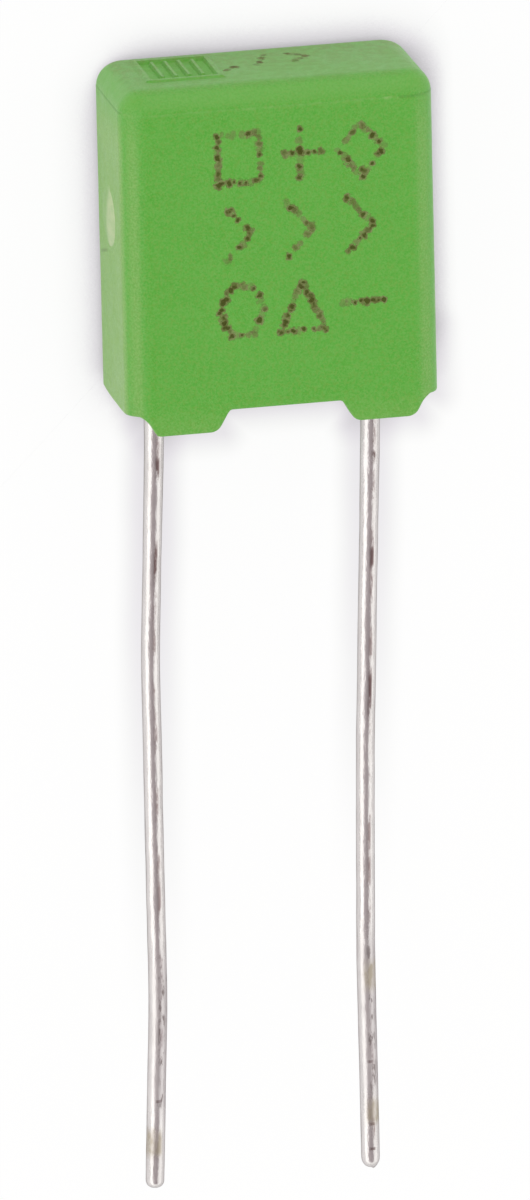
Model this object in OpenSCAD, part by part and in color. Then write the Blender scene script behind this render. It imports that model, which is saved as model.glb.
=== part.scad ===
// Film capacitor in a moulded box case with two radial leads, lying on its broad back face.
// Millimetres. X runs along the case, +Y towards its closed top, +Z out of its front face.
// The pieces are drawn standing on their feet, with Z upwards, and are then laid down.

/* [Case] */
// Length of the case
case_length = 7.2; // [6.6:0.1:10]
// Depth of the case from its front face to its back face
case_depth = 3.5; // [3.2:0.1:6]
// Height of the case with its feet
case_height = 8; // [6.5:0.1:14]
// Thickness of the side walls
wall = 0.35; // [0.25:0.01:0.5]
// Thickness of the closed top
roof = 0.45; // [0.3:0.05:0.8]
// Radius of the four upright edges
edge_r = 0.65; // [0.65:0.05:0.9]
// Radius of the edges round the top
top_r = 0.55; // [0.3:0.05:0.6]
// Depth of the parting line that the mould left round the case
parting_depth = 0.025; // [0.02:0.005:0.05]
// Width of the parting line
parting_width = 0.05; // [0.02:0.01:0.1]
// Height of the parting line above the start of the rolled edge
parting_rise = 0.03; // [0:0.01:0.05]

/* [Feet] */
// Height of the feet
foot_height = 0.5; // [0.2:0.05:0.8]
// Width of a foot where it meets the board, before its corners are rounded
foot_tip = 1.38; // [1:0.02:1.6]
// Width of a foot where it meets the case
foot_root = 1.95; // [1.7:0.05:2.2]
// Distance of a foot's root from the end of the case
foot_end_gap = 0.35; // [0.2:0.05:0.6]
// Radius of a foot's lower corners
foot_round = 0.28; // [0.1:0.01:0.35]
// Radius of the fillet where a foot meets the case
foot_fillet = 0.12; // [0.05:0.01:0.2]

/* [Top panel] */
// Length of the raised panel frame
panel_length = 1.82; // [1.2:0.01:2.4]
// Depth of the raised panel frame
panel_depth = 1.89; // [1.2:0.01:1.9]
// Distance of the frame from the left end of the case
panel_end_gap = 0.76; // [0.65:0.01:1.5]
// Distance of the frame from the back of the case
panel_back_gap = 0.65; // [0.62:0.01:0.8]
// Width of the frame's border
panel_border = 0.14; // [0.08:0.01:0.2]
// Height of the frame and its ribs above the top
panel_relief = 0.04; // [0.03:0.01:0.12]
// Depth of the frame's floor below the top
panel_sink = 0.04; // [0.02:0.01:0.06]
// Number of ribs inside the frame
panel_ribs = 4; // [1:1:5]
// Width of a rib
panel_rib = 0.14; // [0.08:0.01:0.16]

/* [Gate mark] */
// Radius of the low round stub on the left wall, where the plastic entered the mould
gate_r = 0.69; // [0.4:0.01:0.75]
// Height of its centre above the feet
gate_height = 4.73; // [2.5:0.01:5.2]
// Distance of its centre from the back of the case
gate_back_gap = 1.73; // [1.5:0.01:1.9]
// How far its low dome stands out
gate_rise = 0.05; // [0.02:0.01:0.1]

/* [Winding and resin] */
// Gap between the winding and the broad walls
winding_side_gap = 0.3; // [0.1:0.05:0.5]
// Gap between the winding and the closed top
winding_top_gap = 0.4; // [0.1:0.05:0.8]
// Resin between the winding and the open bottom
winding_cover = 1.05; // [0.8:0.05:1.6]
// Thickness of the sprayed contact layer on each end of the winding
spray = 0.375; // [0.2:0.025:0.6]
// How far the resin stays below the bottom rim of the case
resin_recess = 0.03; // [0.01:0.01:0.05]

/* [Leads] */
// Diameter of the lead wire
lead_d = 0.45; // [0.4:0.01:0.6]
// Distance between the leads where they leave the case
lead_pitch = 5; // [4.5:0.1:5.4]
// Length of the leads below the feet
lead_length = 18.3; // [4:0.1:30]
// Sideways shift of the winding and the leads from the middle of the case
lead_shift = -0.2; // [-0.3:0.05:0.3]
// Radius of the rounded cut ends
tip_r = 0.15; // [0.05:0.01:0.18]
// Thickness of the flattened weld blade
blade_thickness = 0.25; // [0.15:0.01:0.35]
// Width of the flattened weld blade
blade_width = 0.6; // [0.4:0.05:0.9]
// Distance of the blade's end below the top of the winding
blade_end_gap = 1.15; // [0.3:0.05:1.5]
// Length of the neck between the wire and its blade
neck_length = 0.6; // [0.3:0.05:0.7]
// How much wider than the wire the neck grows on each side
neck_flare = 0.135; // [0.05:0.005:0.2]
// Depths below the feet at which the left lead bends
left_bends = [0.5, 5.7, 13.8]; // [0.5:0.1:25]
// Leans of the left lead after those bends, in degrees towards the right
left_leans = [-2.4, -0.1, -2.4]; // [-5:0.1:5]
// Depths below the feet at which the right lead bends
right_bends = [0.5, 8.2, 12.9]; // [0.5:0.1:25]
// Leans of the right lead after those bends, in degrees towards the right
right_leans = [-2.1, -1.2, 0.1]; // [-5:0.1:5]

/* [Hidden] */
$fn = 48;

// How far a cut runs past the face that it opens
overrun = 1;
// How far the panel's ribs and the gate mark are rooted in their walls
relief_root = 0.1;
// How much a bend of a lead stands out, and how far its straight runs stop short of the bend
knuckle = 0.003;
bend_trim = 0.02;

case_green = [0.36, 0.66, 0.24];
resin_green = [0.30, 0.42, 0.26];
film_silver = [0.74, 0.75, 0.77];
zinc_grey = [0.55, 0.56, 0.58];
tin_bright = [0.82, 0.81, 0.79];

// Straight stretches of the rounded plan, and the heights where the case changes
flat_x = case_length - 2 * edge_r;
flat_y = case_depth - 2 * edge_r;
shoulder = case_height - top_r;
ceiling = case_height - roof;
resin_level = foot_height + resin_recess;

// The winding fills the space between the walls, and its sprayed ends reach the weld blades
winding_low = foot_height + winding_cover;
winding_high = ceiling - winding_top_gap;
winding_height = winding_high - winding_low;
winding_thickness = case_depth - 2 * (wall + winding_side_gap);
winding_length = lead_pitch - blade_thickness - 2 * spray;

// Inside of the panel's frame
inner_length = panel_length - 2 * panel_border;
inner_depth = panel_depth - 2 * panel_border;

lead_r = lead_d / 2;
blade_length = winding_high - blade_end_gap - resin_level - neck_length;

// Lays what is drawn standing on its back face, with the middle of that face at the origin
module lay() {
    translate([0, -case_height / 2, case_depth / 2])
        rotate([-90, 0, 0])
            children();
}

// A box that is centred in plan and stands on the level it is drawn at
module centred_box(size) {
    translate([-size.x / 2, -size.y / 2, 0])
        cube(size);
}

module quarter_disc(r) {
    intersection() {
        circle(r = r);
        square(r);
    }
}

// Repeats a corner, drawn towards +X and +Y, at the centres of the four upright edges
module at_corners() {
    for (corner = [[1, 1, 0], [-1, 1, 90], [-1, -1, 180], [1, -1, 270]])
        translate([corner.x * flat_x / 2, corner.y * flat_y / 2, 0])
            rotate([0, 0, corner.z])
                children();
}

// An upright block with the plan of the case, drawn in by inset, from one level to another
module upright(inset, low, high) {
    r = edge_r - inset;
    height = high - low;
    translate([0, 0, low]) {
        centred_box([flat_x, flat_y + 2 * r, height]);
        for (side = [-1, 1])
            translate([side * (flat_x + r) / 2, 0, 0])
                centred_box([r, flat_y, height]);
        at_corners()
            rotate_extrude(angle = 90)
                square([r, height]);
    }
}

// Section through the rounded border of the top, outwards from the flat middle
module crown_section() {
    square([edge_r - top_r, top_r]);
    translate([edge_r - top_r, 0])
        quarter_disc(top_r);
}

module crown() {
    translate([0, 0, shoulder]) {
        centred_box([flat_x, flat_y, top_r]);
        for (side = [0, 1]) {
            mirror([0, side, 0])
                translate([-flat_x / 2, flat_y / 2, 0])
                    rotate([90, 0, 90])
                        linear_extrude(flat_x)
                            crown_section();
            mirror([side, 0, 0])
                translate([flat_x / 2, flat_y / 2, 0])
                    rotate([90, 0, 0])
                        linear_extrude(flat_y)
                            crown_section();
        }
        at_corners()
            rotate_extrude(angle = 90)
                crown_section();
    }
}

// Outline of one foot, carried on above the rim
module foot_outline() {
    middle = case_length / 2 - foot_end_gap - foot_root / 2;
    translate([middle, 0])
        polygon([
            [-foot_root / 2, foot_height],
            [-foot_tip / 2, 0],
            [foot_tip / 2, 0],
            [foot_root / 2, foot_height],
            [foot_root / 2, foot_height + overrun],
            [-foot_root / 2, foot_height + overrun]
        ]);
}

// Outline of the lower edge of a broad wall, with its feet rounded and filleted
module rim_outline(length) {
    offset(r = foot_round)
        offset(delta = -foot_round)
            offset(r = -foot_fillet)
                offset(delta = foot_fillet) {
                    translate([-length / 2, foot_height])
                        square([length, overrun]);
                    foot_outline();
                    mirror([1, 0])
                        foot_outline();
                }
}

// What is cut away below the rim to leave the feet
module foot_cut() {
    cut_length = case_length + 2 * overrun;
    translate([0, case_depth / 2 + overrun, 0])
        rotate([90, 0, 0])
            linear_extrude(case_depth + 2 * overrun)
                difference() {
                    translate([-cut_length / 2, -overrun])
                        square([cut_length, foot_height + overrun]);
                    rim_outline(cut_length + 2 * overrun);
                }
}

// The fine line all round where the two halves of the mould met
module parting_cut() {
    low = shoulder + parting_rise;
    difference() {
        translate([0, 0, low])
            centred_box([case_length + overrun, case_depth + overrun, parting_width]);
        upright(parting_depth, low - overrun, low + parting_width + overrun);
    }
}

// The low dome on the left wall that is left where the gate broke off
module gate_stub() {
    ball_r = (pow(gate_r, 2) + pow(gate_rise, 2)) / (2 * gate_rise);
    translate([-case_length / 2, case_depth / 2 - gate_back_gap, gate_height])
        rotate([0, -90, 0])
            intersection() {
                translate([0, 0, gate_rise - ball_r])
                    sphere(r = ball_r);
                translate([0, 0, -relief_root])
                    cylinder(r = gate_r + relief_root, h = relief_root + 2 * gate_rise);
            }
}

// Puts what is drawn at the middle of the panel, from a height above the top, in its place near the left end
module at_panel(height) {
    translate([
        -case_length / 2 + panel_end_gap + panel_length / 2,
        case_depth / 2 - panel_back_gap - panel_depth / 2,
        case_height + height
    ])
        children();
}

module panel_block() {
    at_panel(-relief_root)
        centred_box([panel_length, panel_depth, relief_root + panel_relief]);
}

module panel_cut() {
    at_panel(-panel_sink)
        centred_box([inner_length, inner_depth, overrun]);
}

module panel_rib_row() {
    rib_step = inner_length / (panel_ribs + 1);
    at_panel(-relief_root)
        for (i = [1 : panel_ribs])
            translate([-inner_length / 2 + i * rib_step, 0, 0])
                centred_box([panel_rib, inner_depth - 2 * panel_border, relief_root + panel_relief]);
}

module case() {
    color(case_green)
        lay() {
            difference() {
                union() {
                    upright(0, 0, shoulder);
                    crown();
                    panel_block();
                    gate_stub();
                }
                upright(wall, -overrun, ceiling);
                foot_cut();
                parting_cut();
                panel_cut();
            }
            panel_rib_row();
        }
}

// A stretch of the flattened roll, towards +X from its start
module flat_roll(length) {
    r = winding_thickness / 2;
    translate([0, -r, winding_low + r])
        cube([length, winding_thickness, winding_height - winding_thickness]);
    for (fold = [[winding_high - r, 0], [winding_low + r, 180]])
        translate([0, 0, fold[0]])
            rotate([90, 0, 90])
                rotate([0, 0, fold[1]])
                    rotate_extrude(angle = 180)
                        square([r, length]);
}

module film_winding() {
    color(film_silver)
        lay()
            translate([lead_shift - winding_length / 2, 0, 0])
                flat_roll(winding_length);
}

module end_spray(start) {
    color(zinc_grey)
        lay()
            translate([lead_shift + start, 0, 0])
                flat_roll(spray);
}

module end_spray_left() {
    end_spray(-winding_length / 2 - spray);
}

module end_spray_right() {
    end_spray(winding_length / 2);
}

// Puts what is drawn at the resin's level on the axis of the left lead, or of the right one
module at_lead(side) {
    translate([lead_shift + side * lead_pitch / 2, 0, resin_level])
        children();
}

// The part of a lead that the resin holds: a flat blade welded to the spray, and a neck
module lead_root() {
    translate([0, 0, neck_length])
        centred_box([blade_thickness, blade_width, blade_length]);
    cylinder(h = neck_length, r1 = lead_r, r2 = lead_r + neck_flare);
}

module resin_fill() {
    color(resin_green)
        lay()
            difference() {
                upright(wall, resin_level, ceiling);
                translate([lead_shift - winding_length / 2 - spray, 0, 0])
                    flat_roll(winding_length + 2 * spray);
                for (side = [-1, 1])
                    at_lead(side)
                        lead_root();
            }
}

// Sideways place of a wire at one of its stops, from its leans so far
function wire_x(stops, leans, i) =
    i == 0 ? 0 : wire_x(stops, leans, i - 1) + (stops[i] - stops[i - 1]) * tan(leans[i - 1]);

// The last straight run of a wire, with its rounded cut end
module end_run(start, end) {
    core = lead_r - tip_r;
    rotate_extrude() {
        polygon([
            [0, start],
            [lead_r, start],
            [lead_r, end - tip_r],
            [core, end - tip_r],
            [core, end],
            [0, end]
        ]);
        translate([core, end - tip_r])
            quarter_disc(tip_r);
    }
}

// A wire that runs down from stop to stop, leaning between them, with a knuckle at each bend
module wire(stops, leans) {
    last = len(stops) - 2;
    for (i = [0 : last]) {
        run = (stops[i + 1] - stops[i]) / cos(leans[i]);
        start = i > 0 ? bend_trim : 0;
        translate([wire_x(stops, leans, i), 0, -stops[i]]) {
            rotate([180, -leans[i], 0])
                if (i < last)
                    translate([0, 0, start])
                        cylinder(r = lead_r, h = run - bend_trim - start);
                else
                    end_run(start, run);
            if (i > 0)
                sphere(r = lead_r + knuckle);
        }
    }
}

// A lead keeps only the bends that come before its cut end
module lead(side, bends, leans) {
    kept = [for (bend = bends) if (bend < lead_length - lead_d) bend + resin_level];
    stops = concat([0], kept, [lead_length + resin_level]);
    color(tin_bright)
        lay()
            at_lead(side) {
                lead_root();
                wire(stops, concat([0], leans));
            }
}

module lead_left() {
    lead(-1, left_bends, left_leans);
}

module lead_right() {
    lead(1, right_bends, right_leans);
}

case();
resin_fill();
film_winding();
end_spray_left();
end_spray_right();
lead_left();
lead_right();
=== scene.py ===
# %% [markdown]
# # A film capacitor in a green box case
# A film capacitor is a flat roll of metallised plastic film. The roll sits in a small moulded box that
# is filled with resin, and two tinned wires come out of the open side. The part lies on its broad back:
# +Z goes up out of the front face, +Y points to the closed top of the box, and the wires run towards -Y.
# The solids exist already and are loaded as a fixed frame. They are exact but bare, so this script gives
# those that show a finer mesh of the same form, and every piece a detailed material.

# %% Load the frame
from math import atan2, cos, degrees, hypot, radians, sin, sqrt, tan

import bmesh
import bpy
from mathutils import Matrix, Vector, noise


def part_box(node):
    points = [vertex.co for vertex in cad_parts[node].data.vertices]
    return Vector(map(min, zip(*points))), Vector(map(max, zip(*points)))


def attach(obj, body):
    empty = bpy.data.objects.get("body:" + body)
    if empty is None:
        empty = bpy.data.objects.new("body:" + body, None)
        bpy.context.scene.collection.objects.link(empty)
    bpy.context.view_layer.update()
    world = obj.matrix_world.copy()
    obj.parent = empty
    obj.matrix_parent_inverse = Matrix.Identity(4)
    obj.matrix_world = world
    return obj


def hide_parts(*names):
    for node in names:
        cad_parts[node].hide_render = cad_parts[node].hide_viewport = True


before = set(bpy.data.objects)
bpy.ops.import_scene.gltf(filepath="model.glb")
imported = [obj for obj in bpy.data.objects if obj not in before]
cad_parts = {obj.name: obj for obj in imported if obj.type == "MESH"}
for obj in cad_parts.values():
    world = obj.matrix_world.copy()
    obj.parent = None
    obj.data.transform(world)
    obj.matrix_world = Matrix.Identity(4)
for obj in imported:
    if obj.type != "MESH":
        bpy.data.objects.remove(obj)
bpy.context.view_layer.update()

MM = 0.001
scene = bpy.context.scene
scene.view_settings.view_transform = "Standard"
print("solids:", ", ".join(sorted(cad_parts)))

# %% [markdown]
# ## Sizes
# The box and the wires keep the size and place of their solids, so the outer sizes come from the frame.
# The roundings, the feet and the raised panel can't be read from a bounding box, so these few are named
# here in millimetres, as in the part's own source. All lengths are in millimetres until a mesh is made.

# %% Sizes of the case
case_low, case_high = (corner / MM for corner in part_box("case"))
EDGE_R = 0.65
TOP_R = 0.55
WALL = 0.35
ROOF = 0.45
FOOT_HEIGHT = 0.5
PANEL_RELIEF = 0.04
HALF_X = case_high.x
FRONT = case_high.z
TOP = case_high.y - PANEL_RELIEF
BASE = case_low.y + FOOT_HEIGHT
SHOULDER = TOP - TOP_R
CEILING = TOP - ROOF
FLAT_X = HALF_X - EDGE_R
FLAT_HIGH = FRONT - EDGE_R
print(f"case {2 * HALF_X:.2f} x {TOP - case_low.y:.2f} x {FRONT:.2f} mm, rim at Y {BASE:.2f}")


def smooth(value, low, high):
    """Goes from 0 to 1 between low and high, with soft ends."""
    share = min(max((value - low) / (high - low), 0.0), 1.0)
    return share * share * (3 - 2 * share)


# %% [markdown]
# ## The camera
# The photograph looks down on the part as it lies, a little from its left side and from its top end.
# A long lens keeps the sides of the box almost parallel. The camera's three axes are worked out from two
# angles and a small roll, and put straight into its matrix.

# %% Camera
VIEW_FROM_LEFT = radians(11.94)
VIEW_FROM_TOP = radians(16.9)
VIEW_ROLL = radians(1.338)
VIEW_HEIGHT = 27.179
VIEW_AIM = Vector((-0.233, -8.562, 1.75))
LENS = 600.0


def add_object(name, data):
    """A new object in the scene."""
    thing = bpy.data.objects.new(name, data)
    scene.collection.objects.link(thing)
    return thing


def make_camera():
    """A camera on the photograph's line of sight, as far away as its lens asks for."""
    data = bpy.data.cameras.new("camera")
    data.lens = LENS
    away = VIEW_HEIGHT * LENS / data.sensor_width
    level = cos(VIEW_FROM_TOP)
    back = Vector((-sin(VIEW_FROM_LEFT) * level, sin(VIEW_FROM_TOP),
                   cos(VIEW_FROM_LEFT) * level))
    right = Vector((cos(VIEW_FROM_LEFT), 0, sin(VIEW_FROM_LEFT)))
    up = back.cross(right)
    turned_right = right * cos(VIEW_ROLL) - up * sin(VIEW_ROLL)
    turned_up = right * sin(VIEW_ROLL) + up * cos(VIEW_ROLL)
    place = Matrix((turned_right, turned_up, back)).transposed().to_4x4()
    place.translation = (VIEW_AIM + back * away) * MM
    camera = add_object("camera", data)
    camera.matrix_world = place
    scene.camera = camera
    return away


print(f"camera {make_camera():.0f} mm away")

# %% [markdown]
# ## Helpers for node trees
# Materials and Geometry Nodes are both trees of nodes. One helper adds a node, sets its values and makes
# its links in a single call, so that each tree below reads as a recipe. The others are short names for
# what a recipe often needs, such as a product or a noise.

# %% Nodes and groups


def set_inputs(node, inputs):
    """Sets inputs, given by name or number, to a value or to the socket that they are linked from."""
    for key, value in inputs.items():
        if isinstance(value, bpy.types.NodeSocket):
            node.id_data.links.new(value, node.inputs[key])
        else:
            node.inputs[key].default_value = value


def add_node(tree, kind, inputs=None, **settings):
    """A new node with its settings and its inputs."""
    node = tree.nodes.new(kind)
    for key, value in settings.items():
        setattr(node, key, value)
    set_inputs(node, inputs or {})
    return node


def next_node(kind, inputs, **settings):
    """A new node in the tree that its first linked input comes from."""
    tree = next(value.id_data for value in inputs.values() if isinstance(value, bpy.types.NodeSocket))
    return add_node(tree, kind, inputs, **settings)


def new_group(name, kind, inputs, outputs):
    """An empty node group, the sockets that its inputs come from, and its output node."""
    tree = bpy.data.node_groups.new(name, kind)
    for in_out, sockets in (("INPUT", inputs), ("OUTPUT", outputs)):
        for label, socket_kind in sockets.items():
            tree.interface.new_socket(label, in_out=in_out, socket_type="NodeSocket" + socket_kind)
    return tree, add_node(tree, "NodeGroupInput").outputs, add_node(tree, "NodeGroupOutput")


print("nodes and groups ready")

# %% Sums


def math_node(operation, *values):
    """One kind of sum, taken over values or sockets in turn."""
    total = values[0]
    for value in values[1:]:
        total = next_node("ShaderNodeMath", {0: total, 1: value}, operation=operation).outputs[0]
    return total


def times(*factors):
    """A product."""
    return math_node("MULTIPLY", *factors)


def highest(*values):
    """The highest of some values."""
    return math_node("MAXIMUM", *values)


def apart(first, second):
    """How far one value is from another."""
    return math_node("ABSOLUTE", math_node("SUBTRACT", first, second), 0.0)


def vector_node(operation, first, second=(0.0, 0.0, 0.0)):
    """A sum on vectors. It gives a number for a length or a dot product."""
    key = "Scale" if operation == "SCALE" else 1
    node = next_node("ShaderNodeVectorMath", {0: first, key: second}, operation=operation)
    return node.outputs["Value" if operation in ("LENGTH", "DOT_PRODUCT") else "Vector"]


def split(vector):
    """X, Y and Z of a vector."""
    return next_node("ShaderNodeSeparateXYZ", {0: vector}).outputs


def ramp(value, low, high, to_low=0.0, to_high=1.0):
    """A value carried from one range to another, with soft ends."""
    limits = {"Value": value, "From Min": low, "From Max": high, "To Min": to_low, "To Max": to_high}
    return next_node("ShaderNodeMapRange", limits, interpolation_type="SMOOTHSTEP").outputs[0]


def band(value, rise, fall, share):
    """A share that rises and falls along a value, and is 0 outside."""
    return times(ramp(value, *rise, 0.0, share), ramp(value, *fall, 1.0, 0.0))


print("sums ready")

# %% Colours and surfaces


def rgb(red, green, blue):
    """A colour as read from a screen, from 0 to 255, as the linear values that shaders take."""
    parts = (value / 255 for value in (red, green, blue))
    return (*(p / 12.92 if p <= 0.04045 else ((p + 0.055) / 1.055) ** 2.4 for p in parts), 1.0)


def blend(share, first, second):
    """One colour going over to another."""
    return next_node("ShaderNodeMix", {0: share, 6: first, 7: second}, data_type="RGBA").outputs[2]


def coats(colour, layers):
    """A colour under coats of others. A coat is (its share, its screen colour or a socket)."""
    for share, coat in layers:
        over = coat if isinstance(coat, bpy.types.NodeSocket) else rgb(*coat)
        colour = blend(share, colour, over)
    return colour


def noise_at(place, scale, detail, roughness=0.5):
    """A soft noise from 0 to 1."""
    values = {"Vector": place, "Scale": scale, "Detail": detail, "Roughness": roughness}
    return next_node("ShaderNodeTexNoise", values).outputs[0]


def stored(tree, *names):
    """What a mesh stores under names."""
    return (add_node(tree, "ShaderNodeAttribute", attribute_name=name).outputs["Fac"] for name in names)


def bump(height, strength, distance, **under):
    """A normal tilted by a height, over another normal if one is given as Normal."""
    values = {"Height": height, "Strength": strength, "Distance": distance, **under}
    return next_node("ShaderNodeBump", values).outputs[0]


def new_material(name):
    """A material with its Principled shader and its Object coordinates."""
    material = bpy.data.materials.new(name)
    material.use_nodes = True
    place = add_node(material.node_tree, "ShaderNodeTexCoord").outputs["Object"]
    return material, material.node_tree.nodes["Principled BSDF"], place


def millimetres(place):
    """A place counted in millimetres."""
    return vector_node("SCALE", place, 1 / MM)


print("colours and surfaces ready")

# %% [markdown]
# ## An effect that all finishes share
# Moulded, drawn and sprayed surfaces are never one even colour: they have a soft mottle and a fine grain.
# This effect is a node group, so each finish uses it with its own scales. The part is only millimetres
# wide and Blender counts in metres, so scales are in the thousands.

# %% Mottle and grain
mottle_group, given, result = new_group(
    "mottle and grain",
    "ShaderNodeTree",
    {"Vector": "Vector", "Mottle scale": "Float", "Grain scale": "Float"},
    {"Mottle": "Float", "Grain": "Float"},
)
broad = noise_at(given["Vector"], given["Mottle scale"], 5.0, 0.6)
fine = noise_at(given["Vector"], given["Grain scale"], 3.0, 0.7)
set_inputs(result, {"Mottle": ramp(broad, 0.3, 0.7), "Grain": fine})


def mottle_at(place, mottle_scale, grain_scale):
    """The mottle and the grain of a finish, each from 0 to 1."""
    scales = {"Vector": place, "Mottle scale": mottle_scale, "Grain scale": grain_scale}
    outputs = next_node("ShaderNodeGroup", scales, node_tree=mottle_group).outputs
    return outputs["Mottle"], outputs["Grain"]


print("shared group:", mottle_group.name)

# %% [markdown]
# ## Green plastic
# The box is injection moulded in a leaf-green satin plastic with a slight sheen. Some of its colour is
# painted light: the left wall is painted paler as a reflection of the white floor, the two side edges of
# the front and the rolled top edge carry painted highlights, the flat top face is painted in a darker,
# greyer shade, and the recess of the raised panel is painted lighter. Near the feet it is paler towards the
# bottom. Moulding leaves marks: a seam where the tool closed, drawn as a pale line that is partly small
# burrs and partly a painted highlight, and as painted shade on the left wall and at the right end; and a
# whitened patch where the plastic was let in. The mesh stores where these lie as attributes, and the
# material reads them, so the marks stay on their features. The finish is a list of coats, each with the
# share that it covers.

# %% Plastic material


def edge_light_and_pale_feet(parts, patchy):
    """How much of the pale coat lies on the left wall as a painted reflection, on the front's side edges as
    painted highlights, and towards the feet.
    """
    x, y = parts["X"], parts["Y"]
    # Painted highlights along the front's side edges; the left wall's paleness is a painted reflection of the
    # floor.
    left_highlight = band(x, (-3.57, -3.4), (-3.34, -3.2), 0.4)
    right_highlight = band(x, (3.06, 3.2), (3.3, 3.5), 0.36)
    edges = highest(ramp(x, -3.6, -3.51, 0.68, 0.0), left_highlight, right_highlight)
    edges = times(edges, ramp(y, 2.6, 3.8, 1.0, 0.2))
    edges = highest(edges, ramp(y, -4.0, -3.2, 0.25, 0.0))
    return times(edges, ramp(patchy, 0.5, 1.5, 0.88, 1.12))


def speck_mask(place, scale, share, size):
    """1 on rare specks. A share of the cells that the scale gives has one, up to a size."""
    cells = next_node("ShaderNodeTexVoronoi", {"Vector": place, "Scale": scale}).outputs
    drawn = next_node("ShaderNodeSeparateColor", {0: cells["Color"]}).outputs
    inside = math_node("LESS_THAN", cells["Distance"], times(drawn[1], size))
    return times(math_node("LESS_THAN", drawn[0], share), inside)


def make_green_plastic():
    """Satin green plastic with mottle and grain, under the marks of moulding and handling."""
    material, shader, place = new_material("green_plastic")
    parts = split(millimetres(place))
    mottle, grain = mottle_at(place, 1100.0, 21000.0)
    spread = ramp(grain, 0.34, 0.66)
    warm = noise_at(place, 17000.0, 2.0)
    burrs = noise_at(place, 5200.0, 4.0)
    patchy = ramp(burrs, 0.35, 0.65, 0.5, 1.5)
    # Pale coat: painted reflection on the left wall, painted highlights on the front's edges, and paler feet.
    pale = blend(spread, rgb(124, 172, 80), rgb(152, 192, 108))
    # Painted highlight on the rolled top edge.
    roll_highlight = band(parts["Y"], (3.5, 3.7), (3.86, 3.97), 0.4)
    # Painted shade on the flat top face: a darker, greyer coat, strongest towards the back.
    dull = blend(spread, rgb(106, 122, 56), rgb(136, 150, 82))
    top = times(ramp(parts["Y"], 3.88, 3.98), ramp(parts["Z"], 0.5, 3.0, 0.35, 0.15), patchy)
    seam, gate, sunk = stored(material.node_tree, "seam", "gate", "sunk")
    ragged = times(ramp(burrs, 0.42, 0.6), ramp(parts["X"], 2.3, 2.5, 0.35, 1.0))
    whitened = times(ramp(gate, 0.0, 1.0), ramp(burrs, 0.3, 0.7, 0.55, 0.85))
    colour = coats(rgb(79, 170, 46), [
        (mottle, (83, 173, 50)),
        (spread, (104, 179, 71)),
        (ramp(warm, 0.45, 0.7, 0.0, 0.35), (122, 164, 60)),
        (edge_light_and_pale_feet(parts, patchy), pale),
        (roll_highlight, (114, 180, 76)),
        (top, dull),
        # The seam: where its value is positive a pale line, partly burrs and partly a painted highlight;
        # where negative, painted shade.
        (times(seam, ramp(ragged, 0.0, 1.0, 0.08, 0.6)), (146, 190, 108)),
        (ramp(seam, -1.0, 0.0, 0.27, 0.0), (70, 126, 42)),
        (whitened, (194, 210, 164)),
        (ramp(gate, -1.0, 0.0, 0.7, 0.0), (84, 128, 40)),
        # Painted light: the floor of the panel's recess is painted lighter and greener.
        (ramp(sunk, 0.0, 1.0, 0.0, 0.4), (104, 190, 64)),
        (speck_mask(place, 1600.0, 0.05, 0.11), (140, 190, 102)),
    ])
    rough = math_node("ADD", ramp(mottle, 0.0, 1.0, 0.38, 0.44),
                      ramp(sunk, 0.0, 1.0, 0.0, 0.15), ramp(burrs, 0.35, 0.65, -0.04, 0.04))
    set_inputs(shader, {"Base Color": colour, "Roughness": rough, "Sheen Weight": 0.13,
                        "Sheen Roughness": 0.3, "Normal": bump(grain, 0.9, 1.2e-5)})
    return material


green_plastic = make_green_plastic()
print("finish:", green_plastic.name)

# %% [markdown]
# ## Tinned wire
# The leads are copper-clad wire, dipped in molten tin. The tin is bright but not quite even: it ran along
# the wire as it set, so reflections waver. Its crest, where the dark place overhead is reflected, has dark
# smears and painted shade that deepen that dark stripe, most near the case. Near the cut ends, where it was
# handled, it is hazy, with dark flecks, small nicks and beige patches. Noise that is stretched along the
# wire gives the waver as a bump, and other noises choose the dull places.

# %% Wire material
EDGE_TINT = (0.4, 0.38, 0.38, 1.0)
# Spots near the case where painted shade darkens the crest, on the dark stripe reflected from overhead.
CREST_SHADE_SPOTS = [(0, -5.2, 0.35), (0, -7.4, 0.6), (1, -5.35, 0.2), (1, -7.7, 0.3), (1, -10.9, 0.7)]
BEIGE_SPOTS = [(0, -21.2, 0.45), (1, -17.65, 0.5), (1, -20.9, 0.4)]
NICKS = [(0, -20.2, 0.05), (1, -19.7, 0.05), (1, -21.2, 0.05), (1, -21.8, 0.05)]


def spot_mask(parts, spots):
    """1 at spots on the wires. A spot is (0 for the left wire or 1 for the right, middle, half length)."""
    right = ramp(parts["X"], -0.1, 0.1)
    total = 0.0
    for wire, middle, half in spots:
        off = apart(parts["Y"], middle)
        spot = times(ramp(off, 0.4 * half, half, 1.0, 0.0), apart(right, 1.0 - wire))
        total = highest(spot, total)
    return total


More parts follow.
